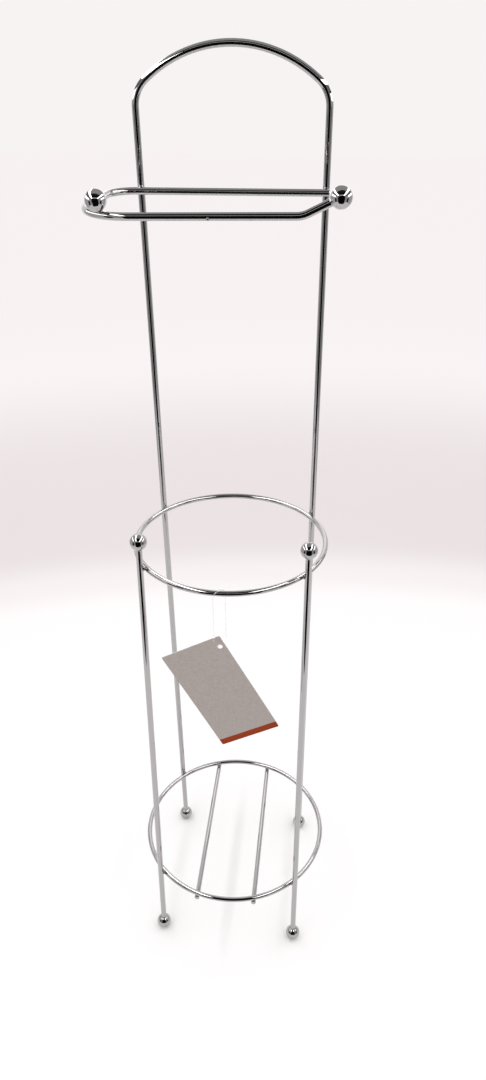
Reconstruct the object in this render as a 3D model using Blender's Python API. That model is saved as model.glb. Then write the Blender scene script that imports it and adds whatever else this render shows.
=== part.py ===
"""A free-standing toilet roll and brush stand in welded round wire.

The rear frame is one wire, bent from foot to foot over a round arch. It and two short
front posts lean towards each other like a trestle, and two rings are welded inside
them: a wide one near the floor and a smaller one above. A brush pot drops through
both rings and stands on the two base rods. The roll holder is one more wire: it crosses
the rear legs near the top, bends forward on the left and comes back to the right as the
roll bar. A ball on top of its front bend and a ball on its upturned end keep the roll on.

Lengths are in metres and angles in radians. +X is to the right and -Y is the front.
"""
import math

import bmesh
import bpy
from mathutils import Matrix, Vector

# Wires
frame_wire = 0.0045             # rear frame, front posts, crossbar and roll bar
ring_wire = 0.0040              # rings and base rods
clearance = 0.0003              # gap that stands for each weld or seat

# Rings, measured to the middle of the wire
upper_ring_radius = 0.0690
upper_ring_height = 0.3720
lower_ring_radius = 0.0780
lower_ring_height = 0.0660
leg_bearing = math.radians(52)  # where the legs meet the upper ring, from the Y axis

# Rear frame
overall_height = 0.6865
crown_radius = 0.0800
shoulder_radius = 0.0190

# Front posts, to the centre of the ball on top
post_height = 0.3935

# Base rods
base_rod_spacing = 0.0480
rod_end_chamfer = 0.0004

# Balls
foot_ball_diameter = 0.0120
foot_flat_diameter = 0.0050
cap_ball_diameter = 0.0120
roll_ball_diameter = 0.0120
ball_floor = 0.0040             # metal left beyond the wire's end in a blind socket

# Roll holder
crossbar_drop = 0.0815          # from the top of the arch to the middle of the crossbar
rear_corner_reach = 0.0743      # from the stand's middle to the rear corner, before bending
front_corner_reach = 0.0801
roll_loop_depth = 0.0822        # from the crossbar forward to the roll bar
rear_bend_radius = 0.0156
front_bend_radius = 0.0308
roll_bar_drop = 0.0016          # the loop's short side dips by this to the front
roll_bar_rise = 0.0018          # the bar climbs by this to its upturned end
upturn_place = 0.0470           # from the stand's middle to the corner of the upturn
upturn_reach = 0.0199           # from that corner to the end ball, along X
upturn_radius = 0.0150
upturn_angle = math.radians(25.7)
stop_ball_turn = math.radians(31.4)     # round the front bend, from straight ahead
stop_ball_tilt = math.radians(20.2)     # off the top of the wire, to the loop's outside

# Tag and its loop
loop_strand = 0.0007
loop_end_radius = 0.0052
loop_height = 0.0458            # between the strand's middle at the top and the bottom
loop_twist = math.radians(45)   # the loop's plane, turned from square to the ring
tag_length = 0.0890
tag_width = 0.0470
tag_thickness = 0.0005
tag_corner_radius = 0.0010
tag_hole_diameter = 0.0035
tag_hole_from_end = 0.0083
tag_hole_from_side = 0.0040

# Smoothness of round forms
wire_bevel_resolution = 5
strand_bevel_resolution = 2
ring_steps = 80
bend_step = math.radians(7.5)
crown_step = math.radians(5)
ball_steps_round = 24
ball_step_up = math.radians(13)
tag_hole_steps = 16
tag_corner_steps = 3
loop_arc_steps = 12
weld_distance = 0.000001

# Worked out from the sizes above
wire_radius = frame_wire / 2
ring_wire_radius = ring_wire / 2
upper_seat_radius = upper_ring_radius + ring_wire_radius + wire_radius + clearance
lower_seat_radius = lower_ring_radius + ring_wire_radius + wire_radius + clearance
half_leg_spacing = upper_seat_radius * math.sin(leg_bearing)
upper_leg_y = upper_seat_radius * math.cos(leg_bearing)
lower_leg_y = math.sqrt(lower_seat_radius ** 2 - half_leg_spacing ** 2)
leg_lean = math.atan2(lower_leg_y - upper_leg_y, upper_ring_height - lower_ring_height)
crossbar_height = overall_height - crossbar_drop
foot_centre_height = math.sqrt(foot_ball_diameter ** 2 - foot_flat_diameter ** 2) / 2
ring_extent = lower_ring_radius + ring_wire_radius
right_extent = max(ring_extent, upturn_place + upturn_reach + roll_ball_diameter / 2)
LEFT, RIGHT = -1, 1
FRONT, REAR = -1, 1


def clear_scene():
    for old in list(bpy.data.objects):
        bpy.data.objects.remove(old)


def finish(piece, kind, colour, roughness, metallic, alpha=1.0):
    """Gives a piece its own Principled material."""
    material = bpy.data.materials.new(piece.name + "_" + kind)
    material.use_nodes = True
    shader = material.node_tree.nodes["Principled BSDF"]
    shader.inputs["Base Color"].default_value = (*colour, 1.0)
    shader.inputs["Roughness"].default_value = roughness
    shader.inputs["Metallic"].default_value = metallic
    shader.inputs["Alpha"].default_value = alpha
    piece.data.materials.append(material)


def chrome(piece):
    finish(piece, "chrome", (0.78, 0.78, 0.79), 0.07, 1.0)


def place(piece, axis, location, rotation=None):
    piece.parent = axis
    piece.location = location
    if rotation is not None:
        piece.rotation_euler = rotation.to_euler()


def wire(name, points, diameter, resolution=wire_bevel_resolution, closed=False):
    """A round wire swept along points, which are measured from the piece's origin."""
    curve = bpy.data.curves.new(name, "CURVE")
    curve.dimensions = "3D"
    curve.bevel_depth = diameter / 2
    curve.bevel_resolution = resolution
    curve.use_fill_caps = not closed
    spline = curve.splines.new("POLY")
    spline.points.add(len(points) - 1)
    for knot, point in zip(spline.points, points):
        knot.co = (*point, 1.0)
    spline.use_cyclic_u = closed
    piece = bpy.data.objects.new(name, curve)
    bpy.context.collection.objects.link(piece)
    return piece


def mesh_piece(name, shape):
    """Turns a bmesh into an object with smooth round faces and crisp edges."""
    bmesh.ops.recalc_face_normals(shape, faces=shape.faces)
    mesh = bpy.data.meshes.new(name)
    shape.to_mesh(mesh)
    shape.free()
    mesh.shade_smooth()
    mesh.set_sharp_from_angle(angle=math.radians(40))
    piece = bpy.data.objects.new(name, mesh)
    bpy.context.collection.objects.link(piece)
    return piece


def arc(centre, radius, start, end, step):
    """Points (across, up) of a circular arc between two angles, ends included."""
    count = max(2, math.ceil(abs(end - start) / step))
    angles = [start + (end - start) * i / count for i in range(count + 1)]
    return [(centre[0] + radius * math.cos(a), centre[1] + radius * math.sin(a)) for a in angles]


def bend_centre(before, corner, after, radius):
    """The middle of the arc that replaces a corner between two straight runs of wire."""
    back = (before - corner).normalized()
    ahead = (after - corner).normalized()
    return corner + (back + ahead).normalized() * (radius / math.sin(back.angle(ahead) / 2))


def round_bend(before, corner, after, radius):
    """The arc itself, ends included."""
    centre = bend_centre(before, corner, after, radius)
    back = (before - corner).normalized()
    ahead = (after - corner).normalized()
    tangent = radius / math.tan(back.angle(ahead) / 2)
    arm = corner + back * tangent - centre
    last_arm = corner + ahead * tangent - centre
    turn = arm.angle(last_arm)
    turn_axis = arm.cross(last_arm).normalized()
    count = max(2, math.ceil(turn / bend_step))
    return [centre + Matrix.Rotation(turn * i / count, 3, turn_axis) @ arm for i in range(count + 1)]


def turned(profile):
    """A solid of revolution about Z from (radius, height) points between two axis points."""
    shape = bmesh.new()
    corners = [shape.verts.new((radius, 0, height)) for radius, height in profile]
    edges = [shape.edges.new(pair) for pair in zip(corners, corners[1:])]
    bmesh.ops.spin(shape, geom=corners + edges, axis=(0, 0, 1), cent=(0, 0, 0),
                   angle=math.tau, steps=ball_steps_round, use_merge=False)
    bmesh.ops.remove_doubles(shape, verts=shape.verts, dist=weld_distance)
    return shape


def socket_mouth_angle(ball_radius):
    """How far from the pole a socket for the frame wire cuts the ball's surface."""
    return math.asin((wire_radius + clearance) / ball_radius)


def ball_with_blind_socket(ball_radius):
    """A ball whose socket opens upwards. Its floor lies below the ball's centre."""
    bore = wire_radius + clearance
    mouth = math.pi / 2 - socket_mouth_angle(ball_radius)
    outside = arc((0, 0), ball_radius, -math.pi / 2, mouth, ball_step_up)
    outside[0] = (0, -ball_radius)
    floor = -(ball_radius - ball_floor)
    return turned(outside + [(bore, floor), (0, floor)])


def plain_ball(ball_radius):
    outside = arc((0, 0), ball_radius, -math.pi / 2, math.pi / 2, ball_step_up)
    outside[0], outside[-1] = (0, -ball_radius), (0, ball_radius)
    return turned(outside)


def facing(direction):
    """The rotation that points a ball's socket along direction."""
    return direction.to_track_quat("Z", "Y")


def wire_end_in(ball_centre, ball_radius, towards_wire):
    """Where a wire stops inside a blind socket."""
    return ball_centre - towards_wire * (ball_radius - ball_floor - clearance)


def leg_direction(end):
    """Up a leg at the front or the rear end."""
    return Vector((0, -end * math.sin(leg_lean), math.cos(leg_lean)))


def leg_point(side, end, height):
    """The middle of a leg at a height above the floor."""
    lean_in = (height - lower_ring_height) * math.tan(leg_lean)
    return Vector((side * half_leg_spacing, end * (lower_leg_y - lean_in), height))


def make_rear_frame(axis):
    """One wire from the left foot over the arch to the right foot, in a leaning plane."""
    up = leg_direction(REAR)
    foot = leg_point(LEFT, REAR, foot_centre_height)
    foot_radius = foot_ball_diameter / 2
    rise = (overall_height - wire_radius - foot_centre_height) / math.cos(leg_lean)
    crown_centre = rise - crown_radius
    shoulder_x = half_leg_spacing - shoulder_radius
    shoulder_gap = crown_radius - shoulder_radius
    shoulder_up = math.sqrt(shoulder_gap ** 2 - shoulder_x ** 2)
    meeting = math.atan2(shoulder_up, shoulder_x)
    shoulder = (shoulder_x, crown_centre + shoulder_up)

    right = [(half_leg_spacing, -(foot_radius - ball_floor - clearance))]
    right += arc(shoulder, shoulder_radius, 0, meeting, bend_step)
    crown = arc((0, crown_centre), crown_radius, meeting, math.pi - meeting, crown_step)
    left = [(-x, height) for x, height in reversed(right)]
    outline = right + crown[1:-1] + left

    middle = Vector((0, foot.y, foot.z))
    points = [Vector((x, 0, 0)) + up * height for x, height in outline]
    piece = wire("rear_frame", points, frame_wire)
    place(piece, axis, middle)
    chrome(piece)


def make_front_post(axis, side, name):
    """A straight post from its foot ball to the ball on its top."""
    up = leg_direction(FRONT)
    foot = leg_point(side, FRONT, foot_centre_height)
    top = leg_point(side, FRONT, post_height)
    lower_end = wire_end_in(foot, foot_ball_diameter / 2, up)
    upper_end = wire_end_in(top, cap_ball_diameter / 2, -up)
    piece = wire(name, [Vector(), upper_end - lower_end], frame_wire)
    place(piece, axis, lower_end)
    chrome(piece)


def make_foot_ball(axis, side, end, name):
    """A ball with a socket up its leg's line and a small level flat to stand on."""
    turn = facing(leg_direction(end))
    shape = ball_with_blind_socket(foot_ball_diameter / 2)
    down = turn.inverted() @ Vector((0, 0, -1))
    bmesh.ops.bisect_plane(shape, geom=shape.verts[:] + shape.edges[:] + shape.faces[:],
                           dist=weld_distance, plane_co=down * foot_centre_height,
                           plane_no=down, clear_outer=True)
    rim = [edge for edge in shape.edges if edge.is_boundary]
    bmesh.ops.contextual_create(shape, geom=rim)
    piece = mesh_piece(name, shape)
    place(piece, axis, leg_point(side, end, foot_centre_height), turn)
    chrome(piece)


def make_post_cap_ball(axis, side, name):
    piece = mesh_piece(name, ball_with_blind_socket(cap_ball_diameter / 2))
    place(piece, axis, leg_point(side, FRONT, post_height), facing(-leg_direction(FRONT)))
    chrome(piece)


def make_ring(axis, name, radius, height):
    """A closed ring of round wire, lying level on the stand's axis."""
    angles = [math.tau * i / ring_steps for i in range(ring_steps)]
    points = [Vector((radius * math.cos(a), radius * math.sin(a), 0)) for a in angles]
    piece = wire(name, points, ring_wire, closed=True)
    place(piece, axis, (0, 0, height))
    chrome(piece)


def make_base_rod(axis, side, name):
    """A straight rod under the lower ring, its cut ends level with the ring's outside."""
    across = base_rod_spacing / 2
    outer_radius = lower_ring_radius + ring_wire_radius
    half_length = math.sqrt(outer_radius ** 2 - across ** 2)
    profile = [(0, -half_length), (ring_wire_radius - rod_end_chamfer, -half_length)]
    profile += [(ring_wire_radius, rod_end_chamfer - half_length)]
    profile += [(radius, -along) for radius, along in reversed(profile)]
    piece = mesh_piece(name, turned(profile))
    height = lower_ring_height - ring_wire - clearance
    place(piece, axis, (side * across, 0, height), facing(Vector((0, 1, 0))))
    chrome(piece)


def roll_holder_corners():
    """The holder's rear left, front left and upturn corners before bending."""
    crossbar_y = leg_point(LEFT, REAR, crossbar_height).y
    crossbar_y -= (frame_wire + clearance) / math.cos(leg_lean)
    bar_y = crossbar_y - roll_loop_depth
    bar_height = crossbar_height - roll_bar_drop
    rear = Vector((-rear_corner_reach, crossbar_y, crossbar_height))
    front = Vector((-front_corner_reach, bar_y, bar_height))
    upturn = Vector((upturn_place, bar_y, bar_height + roll_bar_rise))
    return rear, front, upturn


def roll_end_centre():
    """The middle of the ball on the bar's upturned end."""
    upturn = roll_holder_corners()[2]
    return upturn + Vector((upturn_reach, 0, upturn_reach * math.tan(upturn_angle)))


def roll_holder_points():
    """From the right leg's outer side, across both legs and round the loop to the end ball."""
    rear, front, upturn = roll_holder_corners()
    end_centre = roll_end_centre()
    start = Vector((half_leg_spacing + wire_radius, rear.y, rear.z))
    end = wire_end_in(end_centre, roll_ball_diameter / 2, (upturn - end_centre).normalized())
    points = [start] + round_bend(start, rear, front, rear_bend_radius)
    points += round_bend(rear, front, upturn, front_bend_radius)
    points += round_bend(front, upturn, end, upturn_radius) + [end]
    return points


def make_roll_holder(axis):
    points = roll_holder_points()
    piece = wire("roll_holder", [point - points[0] for point in points], frame_wire)
    place(piece, axis, points[0])
    chrome(piece)


def make_roll_stop_ball(axis):
    """A plain ball that sits on top of the holder's front bend, just outside its crest."""
    rear, front, upturn = roll_holder_corners()
    centre = bend_centre(rear, front, upturn, front_bend_radius)
    upwards = (upturn - front).cross(rear - front).normalized()
    ahead = Vector((-math.sin(stop_ball_turn), -math.cos(stop_ball_turn), 0))
    outwards = (ahead - upwards * ahead.dot(upwards)).normalized()
    seat = upwards * math.cos(stop_ball_tilt) + outwards * math.sin(stop_ball_tilt)
    seat_height = roll_ball_diameter / 2 + wire_radius + clearance
    piece = mesh_piece("roll_stop_ball", plain_ball(roll_ball_diameter / 2))
    place(piece, axis, centre + outwards * front_bend_radius + seat * seat_height)
    chrome(piece)


def make_roll_end_ball(axis):
    upturn = roll_holder_corners()[2]
    end_centre = roll_end_centre()
    piece = mesh_piece("roll_end_ball", ball_with_blind_socket(roll_ball_diameter / 2))
    place(piece, axis, end_centre, facing(upturn - end_centre))
    chrome(piece)


def make_stand_axis():
    """An empty on the rings' axis, placed so that the part's box is centred on X = 0."""
    holder_extent = wire_radius - min(point.x for point in roll_holder_points())
    left_extent = max(ring_extent, holder_extent)
    axis = bpy.data.objects.new("stand_axis", None)
    axis.location = ((left_extent - right_extent) / 2, 0, 0)
    bpy.context.collection.objects.link(axis)
    return axis


def loop_top_above_ring():
    """From the ring wire's middle up to the middle of the strand that rests on it."""
    return ring_wire_radius + clearance + loop_strand / 2


def make_tag_loop(axis):
    """A closed nylon loop round the front of the upper ring. Its origin is the ring wire."""
    half_run = loop_height / 2 - loop_end_radius
    step = math.pi / loop_arc_steps
    outline = arc((0, half_run), loop_end_radius, 0, math.pi, step)
    outline += arc((0, -half_run), loop_end_radius, math.pi, math.tau, step)
    centre_height = loop_top_above_ring() - loop_height / 2
    aside, back = math.sin(loop_twist), math.cos(loop_twist)
    points = [Vector((x * aside, x * back, centre_height + up)) for x, up in outline]
    piece = wire("tag_loop", points, loop_strand, strand_bevel_resolution, closed=True)
    place(piece, axis, (0, -upper_ring_radius, upper_ring_height))
    finish(piece, "nylon", (0.9, 0.9, 0.9), 0.25, 0.0, 0.5)


def tag_outline():
    """The card's corner arcs, seen from the front, from the middle of its hole."""
    radius = tag_corner_radius
    right, top = tag_hole_from_side - radius, tag_hole_from_end - radius
    left, bottom = right + 2 * radius - tag_width, top + 2 * radius - tag_length
    step = math.pi / 2 / tag_corner_steps
    outline = arc((right, top), radius, 0, math.pi / 2, step)
    outline += arc((left, top), radius, math.pi / 2, math.pi, step)
    outline += arc((left, bottom), radius, math.pi, math.pi * 3 / 2, step)
    outline += arc((right, bottom), radius, math.pi * 3 / 2, math.tau, step)
    return outline


def make_hang_tag(axis):
    """A punched card that hangs by its hole, its middle straight below the loop's strand."""
    hole_radius = tag_hole_diameter / 2
    strand_above_hole = hole_radius - clearance - loop_strand / 2
    hang_angle = math.atan2(tag_width / 2 - tag_hole_from_side, tag_length / 2 - tag_hole_from_end)
    hole = arc((0, 0), hole_radius, 0, math.tau, math.tau / tag_hole_steps)[:-1]
    shape = bmesh.new()
    rims = []
    for ring in (tag_outline(), hole):
        corners = [shape.verts.new((x, -tag_thickness / 2, up)) for x, up in ring]
        rims += [shape.edges.new(pair) for pair in zip(corners, corners[1:] + corners[:1])]
    front = bmesh.ops.triangle_fill(shape, edges=rims, use_beauty=True)["geom"]
    faces = [item for item in front if isinstance(item, bmesh.types.BMFace)]
    raised = bmesh.ops.extrude_face_region(shape, geom=faces)["geom"]
    back = [item for item in raised if isinstance(item, bmesh.types.BMVert)]
    bmesh.ops.translate(shape, verts=back, vec=(0, tag_thickness, 0))
    bmesh.ops.rotate(shape, verts=shape.verts, cent=(0, 0, 0),
                     matrix=Matrix.Rotation(-hang_angle, 3, "Y"))
    bmesh.ops.translate(shape, verts=shape.verts, vec=(0, 0, -strand_above_hole))
    piece = mesh_piece("hang_tag", shape)
    strand_height = upper_ring_height + loop_top_above_ring() - loop_height
    place(piece, axis, (0, -upper_ring_radius, strand_height))
    finish(piece, "card", (0.42, 0.41, 0.41), 0.55, 0.0)


def make_stand():
    clear_scene()
    axis = make_stand_axis()
    make_rear_frame(axis)
    for side, word in ((LEFT, "left"), (RIGHT, "right")):
        make_front_post(axis, side, "front_post_" + word)
        make_post_cap_ball(axis, side, "post_cap_ball_" + word)
        make_foot_ball(axis, side, FRONT, "foot_ball_front_" + word)
        make_foot_ball(axis, side, REAR, "foot_ball_rear_" + word)
        make_base_rod(axis, side, "base_rod_" + word)
    make_ring(axis, "brush_ring_upper", upper_ring_radius, upper_ring_height)
    make_ring(axis, "brush_ring_lower", lower_ring_radius, lower_ring_height)
    make_roll_holder(axis)
    make_roll_stop_ball(axis)
    make_roll_end_ball(axis)
    make_tag_loop(axis)
    make_hang_tag(axis)


make_stand()
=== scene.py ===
import math

import bmesh
import bpy
from mathutils import Matrix, Vector


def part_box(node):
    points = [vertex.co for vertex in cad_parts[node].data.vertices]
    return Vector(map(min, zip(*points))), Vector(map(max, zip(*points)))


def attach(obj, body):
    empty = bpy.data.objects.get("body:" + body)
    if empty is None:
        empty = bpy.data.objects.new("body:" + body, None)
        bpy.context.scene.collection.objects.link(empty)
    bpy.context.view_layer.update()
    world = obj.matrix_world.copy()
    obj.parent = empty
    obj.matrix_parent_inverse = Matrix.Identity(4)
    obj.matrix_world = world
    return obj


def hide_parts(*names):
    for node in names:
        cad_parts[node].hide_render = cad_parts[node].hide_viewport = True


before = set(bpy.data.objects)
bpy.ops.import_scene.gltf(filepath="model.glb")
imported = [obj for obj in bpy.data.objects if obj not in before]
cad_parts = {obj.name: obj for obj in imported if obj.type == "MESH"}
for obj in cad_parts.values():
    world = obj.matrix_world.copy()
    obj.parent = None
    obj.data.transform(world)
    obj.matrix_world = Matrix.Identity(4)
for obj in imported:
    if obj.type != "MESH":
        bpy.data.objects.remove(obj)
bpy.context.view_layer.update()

# Driving sizes in metres, the same as the CAD's
FRAME_WIRE = 0.0045
RING_WIRE = 0.0040
CLEARANCE = 0.0003
UPPER_RING_RADIUS = 0.0690
UPPER_RING_HEIGHT = 0.3720
LOWER_RING_RADIUS = 0.0780
LOWER_RING_HEIGHT = 0.0660
LEG_BEARING = math.radians(52)
OVERALL_HEIGHT = 0.6865
CROWN_RADIUS = 0.0800
SHOULDER_RADIUS = 0.0190
POST_HEIGHT = 0.3935
ROD_SPACING = 0.0480
BALL_DIAMETER = 0.0120
FOOT_FLAT = 0.0050
BALL_FLOOR = 0.0040
CROSSBAR_DROP = 0.0815
REAR_CORNER_REACH = 0.0743
FRONT_CORNER_REACH = 0.0801
LOOP_DEPTH = 0.0822
REAR_BEND_RADIUS = 0.0156
FRONT_BEND_RADIUS = 0.0308
BAR_DROP = 0.0016
BAR_RISE = 0.0018
UPTURN_PLACE = 0.0470
UPTURN_REACH = 0.0199
UPTURN_RADIUS = 0.0150
UPTURN_ANGLE = math.radians(25.7)
STOP_BALL_TURN = math.radians(31.4)
STOP_BALL_TILT = math.radians(20.2)
STRAND = 0.0007
STRAND_BEND_RADIUS = 0.0052
STRAND_HEIGHT = 0.0458
STRAND_TWIST = math.radians(45)
TAG_LENGTH = 0.0890
TAG_WIDTH = 0.0470
TAG_THICKNESS = 0.0005
TAG_CORNER_RADIUS = 0.0010
TAG_HOLE_DIAMETER = 0.0035
TAG_HOLE_FROM_END = 0.0083
TAG_HOLE_FROM_SIDE = 0.0040

# Details that only the scene has
WELD_COLLAR = 0.0006            # fillet between a ball and its wire
WELD_NUGGET = (0.0019, 0.0011)  # half width and half thickness of a spot weld
CUT_CHAMFER = 0.0004
DRIP = (0.0009, 0.0005)         # a bead of plating left low on the front bar
DRIP_PLACE = -0.0034            # along the bar, from the stand's middle
DRIP_ANGLE = math.radians(28)   # round the bar, from its front
TAG_STRIP = 0.0050              # coloured strip along the card's lower end
TAG_CURL = 0.0009
TAG_ROWS = 14                   # the card's grid, which lets it curl
TAG_COLUMNS = 8

# The camera, as solved from the photograph
CAMERA_PLACE = (0.06360, -0.51605, 0.68381)     # from the stand's middle at floor level
CAMERA_PITCH = math.radians(30.96)
CAMERA_YAW = math.radians(6.05)
CAMERA_ROLL = math.radians(-0.31)
CAMERA_CLIP = (0.01, 50)
SENSOR_HEIGHT = 24.0            # in millimetres
FOCAL_PIXELS = 828.08
PHOTO_HEIGHT_PIXELS = 1080

# Surfaces, the mottled ones as a dark and a light colour
CHROME_COLOUR = (0.435, 0.427, 0.431)
CHROME_ROUGHNESS = (0.02, 0.05)
WELD_COLOUR = (0.30, 0.28, 0.27)
WELD_DARK, WELD_LIGHT = (0.22, 0.20, 0.19), (0.42, 0.40, 0.39)
WELD_ROUGHNESS = 0.35
NYLON_COLOUR = (0.95, 0.95, 0.96)
NYLON_ROUGHNESS = 0.12
NYLON_CLEARNESS = 0.9
NYLON_IOR = 1.3
NYLON_ALPHA = 0.5
SILVER_CARD = ((0.352, 0.318, 0.298), (0.40, 0.362, 0.338))
ORANGE_CARD = ((0.245, 0.030, 0.002), (0.305, 0.042, 0.004))
CARD_BACK = ((0.55, 0.54, 0.52), (0.64, 0.63, 0.61))
CARD_EDGE = ((0.70, 0.69, 0.67), (0.80, 0.79, 0.77))
PRINTED_ROUGHNESS = 0.5
CARD_BACK_ROUGHNESS = 0.8
CARD_EDGE_ROUGHNESS = 0.9
CARD_SHEEN = 0.15
NOISE_LOW, NOISE_HIGH = 0.3, 0.7    # noise hardly leaves these values
TINT_LOW, TINT_HIGH = 0.35, 0.65

# The backdrop's colour and the floor, whose colours are (share of FLOOR_FADE, colour) stops
WALL = (0.93, 0.895, 0.90)
FLOOR_SIZE = 12
FLOOR_DROP = 0.0002             # keeps the floor clear of the feet's flats
FLOOR_FADE = 4.0                # the distance at which the share is 1
FLOOR_FADE_X = 0.16             # the point from which the distance is measured
FLOOR_FADE_Y = -0.94
FLOOR_COLOUR = (0.9, 0.9, 0.9)
# Pale round the stand and darker further out: the darkening and the grey-pink band are painted shade,
# not the floor's own colour
FLOOR_COLOURS_WITH_PAINTED_SHADE = ((0.350, (0.94, 0.94, 0.94)), (0.369, (0.88, 0.86, 0.862)),
                 (0.394, (0.78, 0.745, 0.75)), (0.46, (0.78, 0.745, 0.75)),
                 (0.62, (0.87, 0.855, 0.86)))
# Painted light: the floor glows further out, so that it is as bright as the backdrop where the lamps'
# light falls off
FLOOR_PAINTED_GLOWS = ((0.36, (0, 0, 0)), (0.60, [0.13 * level for level in WALL]))

# The light tent round the stand
TENT_X = 0.030
TENT_TURN = math.radians(6)
TENT_FRONT = -0.70
SHEET_FRONT = -0.47             # the pale sheet on the tent's floor ends here
TENT_BACK = 0.54
TENT_WIDTH = 1.60
TENT_HEIGHT = 0.90
OPENING_X = -0.046              # the opening between the flaps of the tent's front
OPENING_WIDTH = 0.92
OPENING_BACK = -0.11            # the top is open from the front to here, between the strips
STRIP_REACH = 0.342             # the strips hang square to the stand, on both sides of TENT_X
STRIP_WIDTH = 0.123
STRIP_LENGTH = 1.14
STRIP_POWER = 1.45
WALL_STRIP = (0.95, 0.18)       # the bright strip high on each side wall: length and height
WALL_STRIP_Y = 0.06
WALL_STRIP_Z = 0.80
SLOT = (0.36, 0.56)             # the dark slit in each side wall
SLOT_Y = -0.47
SLOT_Z = 0.30
POLE_WIDTH = 0.05
POLE_INSET = 0.03
EDGE_WIDTH = 0.14
BACK_GLOW = (0.46, 0.24)        # the brighter patch on the back wall
BACK_GLOW_Z = 0.65
LAYER = 0.002                   # from one card to the next one in front of it
DEEP_LAYER = 0.005

# How bright each card looks in the chrome
CARD_COLOUR = (1.0, 0.975, 0.98)
CARD_GAIN = 1.17                # makes up for how dark the plating's own colour is
WALL_LEVEL = 0.55
WALL_STRIP_LEVEL = 3.0
SLOT_LEVEL = 0.005
FLAP_LEVEL = 0.38
POLE_LEVEL = 0.06
EDGE_LEVEL = 0.04
WING_LEVEL = 0.22
STRIP_LEVEL = 7.0
BACK_LEVEL = 0.85
BACK_GLOW_LEVEL = 1.5
TOP_LEVEL = 0.42

# The dark room in front of the tent: name, size, place, facing and level of each card
DOWN, AHEAD, BACKWARDS = (0, 0, -1), (0, 1, 0), (0, -1, 0)
ROOM_CARDS = (("room_floor", (0.60, 0.60), (-0.03, SHEET_FRONT, 0.30), AHEAD, 0.004),
              ("room_wall", (10.0, 5.0), (0, -2.2, 2.5), AHEAD, 0.004),
              ("room_ceiling", (10.0, 4.0), (0, -0.5, 3.0), DOWN, 0.015),
              ("room_lamp", (2.2, 0.30), (0, -2.0, 1.70), AHEAD, 0.90))

# Smoothness
WIRE_SIDES = 32
STRAND_SIDES = 12
BEND_STEP = math.radians(3)
RING_STEPS = 180
BALL_STEPS = 48
BALL_ARC_STEP = math.radians(5)
COLLAR_STEP = math.radians(20)
NUGGET_STEPS = 16
NUGGET_ARC_STEP = math.radians(15)
STRAND_STEP = math.radians(9)
TAG_CORNER_STEP = math.radians(18)
TAG_HOLE_STEP = math.radians(10)
SHARP_ANGLE = math.radians(35)
MERGE_DISTANCE = 0.000001

# Worked out from the sizes above
WIRE_RADIUS = FRAME_WIRE / 2
RING_WIRE_RADIUS = RING_WIRE / 2
BALL_RADIUS = BALL_DIAMETER / 2
UPPER_SEAT = UPPER_RING_RADIUS + RING_WIRE_RADIUS + WIRE_RADIUS + CLEARANCE
LOWER_SEAT = LOWER_RING_RADIUS + RING_WIRE_RADIUS + WIRE_RADIUS + CLEARANCE
HALF_LEGS = UPPER_SEAT * math.sin(LEG_BEARING)
LOWER_LEG_Y = math.sqrt(LOWER_SEAT ** 2 - HALF_LEGS ** 2)
LEG_LEAN = math.atan2(LOWER_LEG_Y - UPPER_SEAT * math.cos(LEG_BEARING),
                      UPPER_RING_HEIGHT - LOWER_RING_HEIGHT)
FOOT_HEIGHT = math.sqrt(BALL_DIAMETER ** 2 - FOOT_FLAT ** 2) / 2
RING_LOW, RING_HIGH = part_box("brush_ring_upper")
AXIS = Vector(((RING_LOW.x + RING_HIGH.x) / 2, 0, 0))
LEFT, RIGHT = -1, 1
FRONT, REAR = -1, 1
FACE, STRIP, BACK, EDGE = range(4)      # the card's materials


# Shapes

def arc(centre, radius, start, end, step=BEND_STEP):
    """Points (across, up) of a circular arc between two angles, ends included."""
    count = max(2, math.ceil(abs(end - start) / step))
    angles = [start + (end - start) * i / count for i in range(count + 1)]
    return [(centre[0] + radius * math.cos(a), centre[1] + radius * math.sin(a)) for a in angles]


def bend_centre(before, corner, after, radius):
    """The middle of the arc that replaces a corner between two straight runs of wire."""
    back = (before - corner).normalized()
    ahead = (after - corner).normalized()
    return corner + (back + ahead).normalized() * (radius / math.sin(back.angle(ahead) / 2))


def round_bend(before, corner, after, radius):
    """The arc itself, ends included."""
    centre = bend_centre(before, corner, after, radius)
    back = (before - corner).normalized()
    ahead = (after - corner).normalized()
    tangent = radius / math.tan(back.angle(ahead) / 2)
    arm = corner + back * tangent - centre
    last_arm = corner + ahead * tangent - centre
    turn = arm.angle(last_arm)
    turn_axis = arm.cross(last_arm).normalized()
    count = max(2, math.ceil(turn / BEND_STEP))
    turns = [Matrix.Rotation(turn * i / count, 3, turn_axis) for i in range(count + 1)]
    return [centre + rotation @ arm for rotation in turns]


def mesh_object(name, shape, materials, body, replaced=None):
    """Turns a bmesh into a smooth piece that rides on a body."""
    bmesh.ops.recalc_face_normals(shape, faces=shape.faces)
    mesh = bpy.data.meshes.new(name)
    shape.to_mesh(mesh)
    shape.free()
    mesh.shade_smooth()
    mesh.set_sharp_from_angle(angle=SHARP_ANGLE)
    for item in materials:
        mesh.materials.append(item)
    piece = bpy.data.objects.new(name, mesh)
    bpy.context.collection.objects.link(piece)
    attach(piece, body)
    if replaced:
        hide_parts(replaced)


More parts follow.
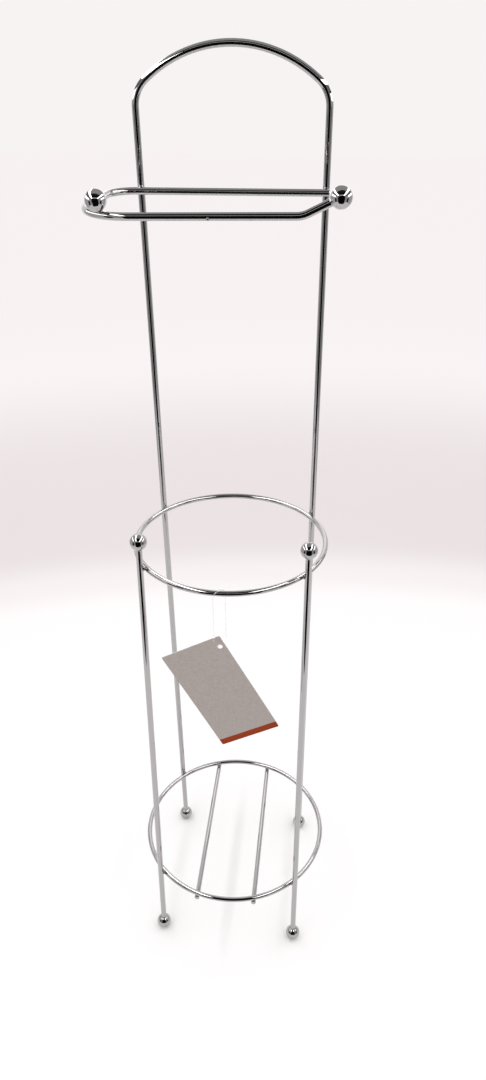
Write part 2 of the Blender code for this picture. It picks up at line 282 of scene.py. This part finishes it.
def sweep(shape, points, radius, sides=WIRE_SIDES, closed=False, chamfer=0.0):
    """Adds a round wire along points. An open one gets flat ends with a small chamfer."""
    count = len(points)
    tangents = []
    for i in range(count):
        before = points[i - 1] if closed or i else points[i]
        after = points[(i + 1) % count] if closed or i < count - 1 else points[i]
        tangents.append((after - before).normalized())
    stations = [(point, tangent, radius) for point, tangent in zip(points, tangents)]
    if not closed:
        first, last = stations[0], stations[-1]
        stations[0] = (first[0] + first[1] * chamfer, first[1], radius)
        stations[-1] = (last[0] - last[1] * chamfer, last[1], radius)
        if chamfer:
            stations.insert(0, (first[0], first[1], radius - chamfer))
            stations.append((last[0], last[1], radius - chamfer))
    across = tangents[0].orthogonal().normalized()
    loops = []
    for point, tangent, size in stations:
        across = (across - tangent * across.dot(tangent)).normalized()
        up = tangent.cross(across)
        turns = [math.tau * i / sides for i in range(sides)]
        loops.append([shape.verts.new(point + (across * math.cos(t) + up * math.sin(t)) * size)
                      for t in turns])
    pairs = list(zip(loops, loops[1:]))
    if closed:
        pairs.append((loops[-1], loops[0]))
    for here, there in pairs:
        for i in range(sides):
            j = (i + 1) % sides
            shape.faces.new((here[i], here[j], there[j], there[i]))
    if not closed:
        shape.faces.new(list(reversed(loops[0])))
        shape.faces.new(loops[-1])


def turned(shape, profile, matrix, steps=BALL_STEPS):
    """Adds a solid of revolution about matrix's Z from (radius, height) points."""
    corners = [shape.verts.new((radius, 0, height)) for radius, height in profile]
    edges = [shape.edges.new(pair) for pair in zip(corners, corners[1:])]
    bmesh.ops.spin(shape, geom=corners + edges, axis=(0, 0, 1), cent=(0, 0, 0),
                   angle=math.tau, steps=steps, use_merge=False)
    seen = set(corners)
    grown = list(corners)
    while grown:
        found = [e.other_vert(v) for v in grown for e in v.link_edges]
        grown = [v for v in set(found) if v not in seen]
        seen.update(grown)
    bmesh.ops.transform(shape, verts=list(seen), matrix=matrix)
    bmesh.ops.remove_doubles(shape, verts=shape.verts, dist=MERGE_DISTANCE)


def at(place, direction=Vector((0, 0, 1))):
    """A matrix that stands Z along direction at a place."""
    return Matrix.Translation(place) @ direction.to_track_quat("Z", "Y").to_matrix().to_4x4()


# Places on the stand

def leg_direction(end):
    """The unit vector up a front or a rear leg."""
    return Vector((0, -end * math.sin(LEG_LEAN), math.cos(LEG_LEAN)))


def leg_point(side, end, height):
    """A leg's middle at a height."""
    lean_in = (height - LOWER_RING_HEIGHT) * math.tan(LEG_LEAN)
    return AXIS + Vector((side * HALF_LEGS, end * (LOWER_LEG_Y - lean_in), height))


def wire_end_in(ball_centre, towards_wire):
    """Where a wire ends in a ball's blind socket."""
    return ball_centre - towards_wire * (BALL_RADIUS - BALL_FLOOR - CLEARANCE)


def holder_corners():
    """The roll holder's rear left, front left and upturn corners before bending."""
    crossbar_height = OVERALL_HEIGHT - CROSSBAR_DROP
    crossbar_y = leg_point(LEFT, REAR, crossbar_height).y
    crossbar_y -= (FRAME_WIRE + CLEARANCE) / math.cos(LEG_LEAN)
    bar_y = crossbar_y - LOOP_DEPTH
    bar_height = crossbar_height - BAR_DROP
    rear = AXIS + Vector((-REAR_CORNER_REACH, crossbar_y, crossbar_height))
    front = AXIS + Vector((-FRONT_CORNER_REACH, bar_y, bar_height))
    upturn = AXIS + Vector((UPTURN_PLACE, bar_y, bar_height + BAR_RISE))
    return rear, front, upturn


def holder_end_centre():
    rise = UPTURN_REACH * math.tan(UPTURN_ANGLE)
    return holder_corners()[2] + Vector((UPTURN_REACH, 0, rise))


def stop_ball_place():
    """The ball's centre, and the unit vector from the wire under it."""
    rear, front, upturn = holder_corners()
    centre = bend_centre(rear, front, upturn, FRONT_BEND_RADIUS)
    upwards = (upturn - front).cross(rear - front).normalized()
    ahead = Vector((-math.sin(STOP_BALL_TURN), -math.cos(STOP_BALL_TURN), 0))
    outwards = (ahead - upwards * ahead.dot(upwards)).normalized()
    seat = upwards * math.cos(STOP_BALL_TILT) + outwards * math.sin(STOP_BALL_TILT)
    seat_height = BALL_RADIUS + WIRE_RADIUS + CLEARANCE
    return centre + outwards * FRONT_BEND_RADIUS + seat * seat_height, seat


# Pieces

def wire_piece(node, points, radius, material, closed=False, chamfer=0.0):
    """A plated wire in place of a node of the CAD."""
    shape = bmesh.new()
    sweep(shape, points, radius, closed=closed, chamfer=chamfer)
    mesh_object(node + "_plated", shape, [material], "stand", node)


def make_rear_frame(material):
    up = leg_direction(REAR)
    foot = leg_point(LEFT, REAR, FOOT_HEIGHT)
    rise = (OVERALL_HEIGHT - WIRE_RADIUS - FOOT_HEIGHT) / math.cos(LEG_LEAN)
    crown_centre = rise - CROWN_RADIUS
    shoulder_x = HALF_LEGS - SHOULDER_RADIUS
    shoulder_up = math.sqrt((CROWN_RADIUS - SHOULDER_RADIUS) ** 2 - shoulder_x ** 2)
    meeting = math.atan2(shoulder_up, shoulder_x)
    right = [(HALF_LEGS, -(BALL_RADIUS - BALL_FLOOR - CLEARANCE))]
    right += arc((shoulder_x, crown_centre + shoulder_up), SHOULDER_RADIUS, 0, meeting)
    crown = arc((0, crown_centre), CROWN_RADIUS, meeting, math.pi - meeting)
    left = [(-x, height) for x, height in reversed(right)]
    middle = Vector((AXIS.x, foot.y, foot.z))
    points = [middle + Vector((x, 0, 0)) + up * height for x, height in right + crown[1:-1] + left]
    wire_piece("rear_frame", points, WIRE_RADIUS, material)


def collar_profile():
    """A ball's outline from its far pole to the wire, with the weld's fillet between them."""
    fillet_x = WIRE_RADIUS + WELD_COLLAR
    fillet_z = math.sqrt((BALL_RADIUS + WELD_COLLAR) ** 2 - fillet_x ** 2)
    meeting = math.atan2(fillet_z, fillet_x)
    outline = arc((0, 0), BALL_RADIUS, -math.pi / 2, meeting, BALL_ARC_STEP)
    outline[0] = (0, -BALL_RADIUS)
    fillet = arc((fillet_x, fillet_z), WELD_COLLAR, meeting + math.pi, math.pi, COLLAR_STEP)
    return outline + fillet[1:] + [(0, fillet_z)]


def make_socket_ball(node, centre, towards_wire, material, flat=False):
    """A ball that stands on a wire's end. A flat one is cut off at floor level."""
    shape = bmesh.new()
    turned(shape, collar_profile(), at(centre, towards_wire))
    if flat:
        bmesh.ops.bisect_plane(shape, geom=shape.verts[:] + shape.edges[:] + shape.faces[:],
                               plane_co=(0, 0, 0), plane_no=(0, 0, -1), clear_outer=True)
        bmesh.ops.contextual_create(shape, geom=[e for e in shape.edges if e.is_boundary])
    mesh_object(node + "_plated", shape, [material], "stand", node)


def make_legs_and_balls(material):
    for side, word in ((LEFT, "left"), (RIGHT, "right")):
        up = leg_direction(FRONT)
        foot = leg_point(side, FRONT, FOOT_HEIGHT)
        top = leg_point(side, FRONT, POST_HEIGHT)
        ends = [wire_end_in(foot, up), wire_end_in(top, -up)]
        wire_piece("front_post_" + word, ends, WIRE_RADIUS, material)
        make_socket_ball("post_cap_ball_" + word, top, -up, material)
        for end, place in ((FRONT, "front_"), (REAR, "rear_")):
            centre, up = leg_point(side, end, FOOT_HEIGHT), leg_direction(end)
            make_socket_ball("foot_ball_" + place + word, centre, up, material, flat=True)


def make_rings_and_rods(material):
    for node, radius, height in (("brush_ring_upper", UPPER_RING_RADIUS, UPPER_RING_HEIGHT),
                                 ("brush_ring_lower", LOWER_RING_RADIUS, LOWER_RING_HEIGHT)):
        turns = [math.tau * i / RING_STEPS for i in range(RING_STEPS)]
        points = [Vector((radius * math.cos(t), radius * math.sin(t), height)) for t in turns]
        wire_piece(node, [AXIS + point for point in points], RING_WIRE_RADIUS, material, closed=True)
    half_length = math.sqrt((LOWER_RING_RADIUS + RING_WIRE_RADIUS) ** 2 - (ROD_SPACING / 2) ** 2)
    rod_height = LOWER_RING_HEIGHT - RING_WIRE - CLEARANCE
    for side, word in ((LEFT, "left"), (RIGHT, "right")):
        middle = AXIS + Vector((side * ROD_SPACING / 2, 0, rod_height))
        ends = [middle - Vector((0, half_length, 0)), middle + Vector((0, half_length, 0))]
        wire_piece("base_rod_" + word, ends, RING_WIRE_RADIUS, material, chamfer=CUT_CHAMFER)


def make_roll_holder(material):
    rear, front, upturn = holder_corners()
    end_centre = holder_end_centre()
    start = Vector((AXIS.x + HALF_LEGS + WIRE_RADIUS, rear.y, rear.z))
    towards_wire = (upturn - end_centre).normalized()
    end = wire_end_in(end_centre, towards_wire)
    points = [start] + round_bend(start, rear, front, REAR_BEND_RADIUS)
    points += round_bend(rear, front, upturn, FRONT_BEND_RADIUS)
    points += round_bend(front, upturn, end, UPTURN_RADIUS) + [end]
    wire_piece("roll_holder", points, WIRE_RADIUS, material, chamfer=CUT_CHAMFER)
    make_socket_ball("roll_end_ball", end_centre, towards_wire, material)
    shape = bmesh.new()
    outline = arc((0, 0), BALL_RADIUS, -math.pi / 2, math.pi / 2, BALL_ARC_STEP)
    outline[0], outline[-1] = (0, -BALL_RADIUS), (0, BALL_RADIUS)
    turned(shape, outline, at(stop_ball_place()[0]))
    mesh_object("roll_stop_ball_plated", shape, [material], "stand", "roll_stop_ball")


def nugget(shape, place, direction, size=WELD_NUGGET):
    """Adds one flat bead, such as the spot weld across the gap between two wires."""
    half_width, half_thickness = size
    squash = Matrix.Diagonal((half_width, half_width, half_thickness, 1))
    outline = arc((0, 0), 1, -math.pi / 2, math.pi / 2, NUGGET_ARC_STEP)
    outline[0], outline[-1] = (0, -1), (0, 1)
    turned(shape, outline, at(place, direction) @ squash, NUGGET_STEPS)


def make_welds(material):
    rings = bmesh.new()
    for side in (LEFT, RIGHT):
        for end in (FRONT, REAR):
            for height in (UPPER_RING_HEIGHT, LOWER_RING_HEIGHT):
                leg = leg_point(side, end, height)
                outwards = (leg - AXIS - Vector((0, 0, height))).normalized()
                nugget(rings, leg - outwards * (WIRE_RADIUS + CLEARANCE / 2), outwards)
    mesh_object("ring_welds", rings, [material], "stand")
    rods = bmesh.new()
    reach = math.sqrt(LOWER_RING_RADIUS ** 2 - (ROD_SPACING / 2) ** 2)
    height = LOWER_RING_HEIGHT - RING_WIRE_RADIUS
    for side in (LEFT, RIGHT):
        for end in (FRONT, REAR):
            place = Vector((side * ROD_SPACING / 2, end * reach, height))
            nugget(rods, AXIS + place, Vector((0, 0, 1)))
    mesh_object("rod_welds", rods, [material], "stand")
    holder = bmesh.new()
    rear, front, upturn = holder_corners()
    for side in (LEFT, RIGHT):
        leg = leg_point(side, REAR, rear.z)
        nugget(holder, Vector((leg.x, (leg.y + rear.y) / 2, rear.z)), Vector((0, 1, 0)))
    centre, seat = stop_ball_place()
    nugget(holder, centre - seat * (BALL_RADIUS + CLEARANCE / 2), seat)
    share = (AXIS.x + DRIP_PLACE - front.x) / (upturn.x - front.x)
    outwards = Vector((0, -math.cos(DRIP_ANGLE), -math.sin(DRIP_ANGLE)))
    nugget(holder, front.lerp(upturn, share) + outwards * WIRE_RADIUS, outwards, DRIP)
    mesh_object("holder_welds", holder, [material], "stand")


def strand_height():
    """The top of the nylon loop, which lies on the upper ring."""
    return UPPER_RING_HEIGHT + RING_WIRE_RADIUS + CLEARANCE + STRAND / 2


def make_tag_loop(material):
    half_run = STRAND_HEIGHT / 2 - STRAND_BEND_RADIUS
    outline = arc((0, half_run), STRAND_BEND_RADIUS, 0, math.pi, STRAND_STEP)
    outline += arc((0, -half_run), STRAND_BEND_RADIUS, math.pi, math.tau, STRAND_STEP)
    middle = AXIS + Vector((0, -UPPER_RING_RADIUS, strand_height() - STRAND_HEIGHT / 2))
    aside = Vector((math.sin(STRAND_TWIST), math.cos(STRAND_TWIST), 0))
    points = [middle + aside * x + Vector((0, 0, up)) for x, up in outline]
    shape = bmesh.new()
    sweep(shape, points, STRAND / 2, STRAND_SIDES, closed=True)
    mesh_object("tag_loop_strand", shape, [material], "loop", "tag_loop")


def tag_outline():
    """The card's corner arcs, seen from the front, from the middle of its hole."""
    radius = TAG_CORNER_RADIUS
    right, top = TAG_HOLE_FROM_SIDE - radius, TAG_HOLE_FROM_END - radius
    left, bottom = right + 2 * radius - TAG_WIDTH, top + 2 * radius - TAG_LENGTH
    outline = []
    for turn, corner in enumerate(((right, top), (left, top), (left, bottom), (right, bottom))):
        start = turn * math.pi / 2
        outline += arc(corner, radius, start, start + math.pi / 2, TAG_CORNER_STEP)
    return outline


def make_hang_tag(face, strip, back, edge):
    """A card that curls a little, with a coloured strip along its lower end."""
    hole_radius = TAG_HOLE_DIAMETER / 2
    hang_angle = math.atan2(TAG_WIDTH / 2 - TAG_HOLE_FROM_SIDE, TAG_LENGTH / 2 - TAG_HOLE_FROM_END)
    hole = arc((0, 0), hole_radius, 0, math.tau, TAG_HOLE_STEP)[:-1]
    shape = bmesh.new()
    rims = []
    for loop in (tag_outline(), hole):
        corners = [shape.verts.new((x, -TAG_THICKNESS / 2, up)) for x, up in loop]
        rims += [shape.edges.new(pair) for pair in zip(corners, corners[1:] + corners[:1])]
    bmesh.ops.triangle_fill(shape, edges=rims, use_beauty=True)
    bottom = TAG_HOLE_FROM_END - TAG_LENGTH
    left = TAG_HOLE_FROM_SIDE - TAG_WIDTH
    cuts = [((0, 0, bottom + TAG_STRIP), (0, 0, 1))]
    cuts += [((0, 0, bottom + TAG_LENGTH * i / TAG_ROWS), (0, 0, 1)) for i in range(1, TAG_ROWS)]
    cuts += [((left + TAG_WIDTH * i / TAG_COLUMNS, 0, 0), (1, 0, 0)) for i in range(1, TAG_COLUMNS)]
    for place, normal in cuts:
        bmesh.ops.bisect_plane(shape, geom=shape.verts[:] + shape.edges[:] + shape.faces[:],
                               plane_co=place, plane_no=normal)
    printed = shape.faces[:]
    for item in printed:
        item.material_index = STRIP if item.calc_center_median().z < bottom + TAG_STRIP else FACE
    raised = bmesh.ops.extrude_face_region(shape, geom=printed)["geom"]
    far_side = [item for item in raised if isinstance(item, bmesh.types.BMVert)]
    bmesh.ops.translate(shape, verts=far_side, vec=(0, TAG_THICKNESS, 0))
    for item in shape.faces:
        if item.calc_center_median().y > TAG_THICKNESS / 4:
            item.material_index = BACK
        elif item.calc_center_median().y > -TAG_THICKNESS / 4:
            item.material_index = EDGE
    for corner in shape.verts:
        along = corner.co.z / TAG_LENGTH
        corner.co.y += TAG_CURL * along * abs(along)
    bmesh.ops.rotate(shape, verts=shape.verts, cent=(0, 0, 0),
                     matrix=Matrix.Rotation(-hang_angle, 3, "Y"))
    low_strand = strand_height() - STRAND_HEIGHT
    drop = hole_radius - CLEARANCE - STRAND / 2
    place = AXIS + Vector((0, -UPPER_RING_RADIUS, low_strand - drop))
    bmesh.ops.translate(shape, verts=shape.verts, vec=place)
    mesh_object("hang_tag_card", shape, [face, strip, back, edge], "tag", "hang_tag")


# Materials

def new_material(name, colour, roughness, metallic=0.0):
    made = bpy.data.materials.new(name)
    made.use_nodes = True
    shader = made.node_tree.nodes["Principled BSDF"]
    shader.inputs["Base Color"].default_value = (*colour, 1)
    shader.inputs["Roughness"].default_value = roughness
    shader.inputs["Metallic"].default_value = metallic
    return made


def noise(made, scale, detail=2.0):
    nodes, links = made.node_tree.nodes, made.node_tree.links
    place = nodes.new("ShaderNodeTexCoord")
    texture = nodes.new("ShaderNodeTexNoise")
    texture.inputs["Scale"].default_value = scale
    texture.inputs["Detail"].default_value = detail
    links.new(place.outputs["Object"], texture.inputs["Vector"])
    return texture.outputs["Fac"]


def spread(made, value, low, high, socket):
    """Feeds a texture's 0 to 1 into a socket as low to high."""
    nodes, links = made.node_tree.nodes, made.node_tree.links
    scale = nodes.new("ShaderNodeMapRange")
    scale.inputs["From Min"].default_value = NOISE_LOW
    scale.inputs["From Max"].default_value = NOISE_HIGH
    scale.inputs["To Min"].default_value = low
    scale.inputs["To Max"].default_value = high
    links.new(value, scale.inputs["Value"])
    links.new(scale.outputs["Result"], nodes["Principled BSDF"].inputs[socket])


def tint(made, value, low, high):
    """Mixes the base colour between two colours by a texture."""
    nodes, links = made.node_tree.nodes, made.node_tree.links
    ramp = nodes.new("ShaderNodeValToRGB")
    ramp.color_ramp.elements[0].position = TINT_LOW
    ramp.color_ramp.elements[0].color = (*low, 1)
    ramp.color_ramp.elements[1].position = TINT_HIGH
    ramp.color_ramp.elements[1].color = (*high, 1)
    links.new(value, ramp.inputs["Fac"])
    links.new(ramp.outputs["Color"], nodes["Principled BSDF"].inputs["Base Color"])


def ripple(made, value, strength, depth):
    """Bumps the surface by a texture."""
    nodes, links = made.node_tree.nodes, made.node_tree.links
    bump = nodes.new("ShaderNodeBump")
    bump.inputs["Strength"].default_value = strength
    bump.inputs["Distance"].default_value = depth
    links.new(value, bump.inputs["Height"])
    links.new(bump.outputs["Normal"], nodes["Principled BSDF"].inputs["Normal"])


def chrome_material(name):
    smoothest, roughest = CHROME_ROUGHNESS
    made = new_material(name, CHROME_COLOUR, roughest, metallic=1.0)
    spread(made, noise(made, scale=300), smoothest, roughest, "Roughness")
    ripple(made, noise(made, scale=70, detail=1.0), strength=0.025, depth=0.0004)
    return made


def weld_material(name):
    made = new_material(name, WELD_COLOUR, WELD_ROUGHNESS, metallic=1.0)
    tint(made, noise(made, scale=1500), WELD_DARK, WELD_LIGHT)
    ripple(made, noise(made, scale=2200), strength=0.6, depth=0.0003)
    return made


def nylon_material(name):
    made = new_material(name, NYLON_COLOUR, NYLON_ROUGHNESS)
    shader = made.node_tree.nodes["Principled BSDF"]
    shader.inputs["Transmission Weight"].default_value = NYLON_CLEARNESS
    shader.inputs["IOR"].default_value = NYLON_IOR
    shader.inputs["Alpha"].default_value = NYLON_ALPHA
    return made


def card_material(name, colours, roughness):
    dark, light = colours
    made = new_material(name, light, roughness)
    shader = made.node_tree.nodes["Principled BSDF"]
    shader.inputs["Specular IOR Level"].default_value = CARD_SHEEN
    tint(made, noise(made, scale=700, detail=4.0), dark, light)
    ripple(made, noise(made, scale=1800, detail=3.0), strength=0.25, depth=0.0001)
    return made


# Camera, floor and light

def make_camera():
    level = math.cos(CAMERA_PITCH)
    forward = Vector((-math.sin(CAMERA_YAW) * level, math.cos(CAMERA_YAW) * level,
                      -math.sin(CAMERA_PITCH)))
    right = Vector((math.cos(CAMERA_YAW), math.sin(CAMERA_YAW), 0))
    up = right.cross(forward)
    tilted_right = right * math.cos(CAMERA_ROLL) + up * math.sin(CAMERA_ROLL)
    tilted_up = up * math.cos(CAMERA_ROLL) - right * math.sin(CAMERA_ROLL)
    turn = Matrix((tilted_right, tilted_up, -forward)).transposed()
    data = bpy.data.cameras.new("camera")
    data.sensor_fit = "VERTICAL"
    data.sensor_height = SENSOR_HEIGHT
    data.lens = SENSOR_HEIGHT * FOCAL_PIXELS / PHOTO_HEIGHT_PIXELS
    data.clip_start, data.clip_end = CAMERA_CLIP
    camera = bpy.data.objects.new("camera", data)
    camera.matrix_world = Matrix.Translation(AXIS + Vector(CAMERA_PLACE)) @ turn.to_4x4()
    bpy.context.collection.objects.link(camera)
    bpy.context.scene.camera = camera


def make_plane(name, size, place, facing, made):
    shape = bmesh.new()
    bmesh.ops.create_grid(shape, x_segments=1, y_segments=1, size=0.5)
    bmesh.ops.scale(shape, verts=shape.verts, vec=(size[0], size[1], 1))
    mesh = bpy.data.meshes.new(name)
    shape.to_mesh(mesh)
    shape.free()
    plane = bpy.data.objects.new(name, mesh)
    plane.matrix_world = at(place, Vector(facing))
    mesh.materials.append(made)
    bpy.context.collection.objects.link(plane)
    return plane


def glow_material(name, colour, strength):
    made = new_material(name, (0, 0, 0), 1.0)
    shader = made.node_tree.nodes["Principled BSDF"]
    shader.inputs["Specular IOR Level"].default_value = 0.0
    shader.inputs["Emission Color"].default_value = (*colour, 1)
    shader.inputs["Emission Strength"].default_value = strength
    return made


def distance_ramp(made, stops):
    """A colour that depends on the distance from a point in front of the tent."""
    nodes, links = made.node_tree.nodes, made.node_tree.links
    place = nodes.new("ShaderNodeTexCoord")
    distance = nodes.new("ShaderNodeVectorMath")
    distance.operation = "DISTANCE"
    distance.inputs[1].default_value = (FLOOR_FADE_X, FLOOR_FADE_Y, 0)
    share = nodes.new("ShaderNodeMath")
    share.operation = "DIVIDE"
    share.inputs[1].default_value = FLOOR_FADE
    ramp = nodes.new("ShaderNodeValToRGB")
    ramp.color_ramp.interpolation = "EASE"
    while len(ramp.color_ramp.elements) < len(stops):
        ramp.color_ramp.elements.new(0.5)
    for element, (far, colour) in zip(ramp.color_ramp.elements, stops):
        element.position = far
        element.color = (*colour, 1)
    links.new(place.outputs["Object"], distance.inputs[0])
    links.new(distance.outputs["Value"], share.inputs[0])
    links.new(share.outputs["Value"], ramp.inputs["Fac"])
    return ramp.outputs["Color"]


def make_floor():
    """A pale floor, white round the stand, that turns into the backdrop's colour further out. Its
    darker band further out is painted shade, and its glow further out is painted light.
    """
    made = new_material("pale_floor", FLOOR_COLOUR, 1.0)
    shader = made.node_tree.nodes["Principled BSDF"]
    shader.inputs["Specular IOR Level"].default_value = 0.0
    shader.inputs["Emission Strength"].default_value = 1.0
    # The floor's colour, with painted shade further out
    base = distance_ramp(made, FLOOR_COLOURS_WITH_PAINTED_SHADE)
    # Painted light: an emission that lifts the far floor to the backdrop's brightness
    glow = distance_ramp(made, FLOOR_PAINTED_GLOWS)
    made.node_tree.links.new(base, shader.inputs["Base Color"])
    made.node_tree.links.new(glow, shader.inputs["Emission Color"])
    floor = make_plane("floor", (FLOOR_SIZE, FLOOR_SIZE), (0, 0, 0), (0, 0, 1), made)
    floor.matrix_world = Matrix.Translation((0, 0, -FLOOR_DROP))


def tent_place(place, facing):
    """A matrix that stands Z along facing at a place in the tent, which is turned a little."""
    tent = Matrix.Translation((TENT_X, 0, 0)) @ Matrix.Rotation(TENT_TURN, 4, "Z")
    return tent @ at(place, Vector(facing))


def make_reflector(name, size, place, facing, level, square=False):
    """A card of the light tent that only the chrome reflects. A square one isn't turned."""
    glow = glow_material(name, CARD_COLOUR, CARD_GAIN * level)
    card = make_plane(name, size, place, facing, glow)
    if not square:
        card.matrix_world = tent_place(place, facing)
    card.visible_camera = False
    card.visible_diffuse = False
    card.visible_shadow = False
    card.visible_transmission = False


def make_tent():
    """A tent of cloth with light strips in its top, open at the front towards a dark room."""
    depth, height = TENT_BACK - TENT_FRONT, TENT_HEIGHT
    middle_y, middle_z = (TENT_FRONT + TENT_BACK) / 2, height / 2
    wing_width = TENT_WIDTH / 2 - STRIP_REACH
    for side, word in ((LEFT, "left"), (RIGHT, "right")):
        wall = side * TENT_WIDTH / 2
        opening_side = OPENING_X + side * OPENING_WIDTH / 2
        inwards = (-side, 0, 0)
        in_wall = (wall, middle_y, middle_z)
        on_wall = (wall - side * LAYER, WALL_STRIP_Y, WALL_STRIP_Z)
        before_wall = (wall - side * 2 * LAYER, SLOT_Y, SLOT_Z)
        in_front = ((wall + opening_side) / 2, TENT_FRONT, middle_z)
        in_corner = (wall - side * POLE_INSET, TENT_BACK - DEEP_LAYER, middle_z)
        under_edge = (wall - side * EDGE_WIDTH / 2, middle_y, height - DEEP_LAYER)
        in_top = (side * (STRIP_REACH + wing_width / 2), middle_y, height)
        flap = (abs(wall - opening_side), height)
        cards = (("wall", (depth, height), in_wall, inwards, WALL_LEVEL),
                 ("wall_strip", WALL_STRIP, on_wall, inwards, WALL_STRIP_LEVEL),
                 ("slot", SLOT, before_wall, inwards, SLOT_LEVEL),
                 ("flap", flap, in_front, AHEAD, FLAP_LEVEL),
                 ("back_pole", (POLE_WIDTH, height), in_corner, BACKWARDS, POLE_LEVEL),
                 ("top_edge", (EDGE_WIDTH, depth), under_edge, DOWN, EDGE_LEVEL),
                 ("top_wing", (wing_width, depth), in_top, DOWN, WING_LEVEL))
        for part, size, place, facing, level in cards:
            make_reflector("tent_" + part + "_" + word, size, place, facing, level)
        strip = (TENT_X + side * STRIP_REACH, middle_y, height - LAYER)
        size = (STRIP_WIDTH, STRIP_LENGTH)
        make_reflector("tent_strip_" + word, size, strip, DOWN, STRIP_LEVEL, square=True)
        make_area("strip_" + word, strip, size, STRIP_POWER)
    roof = TENT_BACK - OPENING_BACK
    top = (2 * STRIP_REACH, roof)
    make_reflector("tent_back", (TENT_WIDTH, height), (0, TENT_BACK, middle_z), BACKWARDS, BACK_LEVEL)
    make_reflector("tent_back_glow", BACK_GLOW, (0, TENT_BACK - LAYER, BACK_GLOW_Z), BACKWARDS,
                   BACK_GLOW_LEVEL)
    make_reflector("tent_top", top, (0, TENT_BACK - roof / 2, height), DOWN, TOP_LEVEL)
    for name, size, place, facing, level in ROOM_CARDS:
        make_reflector(name, size, place, facing, level)


def make_world():
    world = bpy.data.worlds.new("studio")
    world.use_nodes = True
    background = world.node_tree.nodes["Background"]
    background.inputs["Color"].default_value = (*WALL, 1)
    background.inputs["Strength"].default_value = 1.0
    bpy.context.scene.world = world


def make_area(name, place, size, power):
    """A light that shines straight down and is seen by nothing but what it lights."""
    data = bpy.data.lights.new(name, "AREA")
    data.shape = "RECTANGLE"
    data.size, data.size_y = size
    data.energy = power
    light = bpy.data.objects.new(name, data)
    light.location = place
    bpy.context.collection.objects.link(light)
    light.visible_glossy = False
    light.visible_camera = False


bpy.context.scene.view_settings.view_transform = "Standard"
make_camera()
make_floor()
make_tent()
make_world()

chrome = chrome_material("chrome")
make_rear_frame(chrome)
make_legs_and_balls(chrome)
make_rings_and_rods(chrome)
make_roll_holder(chrome)
make_welds(weld_material("weld"))
make_tag_loop(nylon_material("nylon"))
make_hang_tag(card_material("silver_card", SILVER_CARD, PRINTED_ROUGHNESS),
              card_material("orange_card", ORANGE_CARD, PRINTED_ROUGHNESS),
              card_material("card_back", CARD_BACK, CARD_BACK_ROUGHNESS),
              card_material("card_edge", CARD_EDGE, CARD_EDGE_ROUGHNESS))
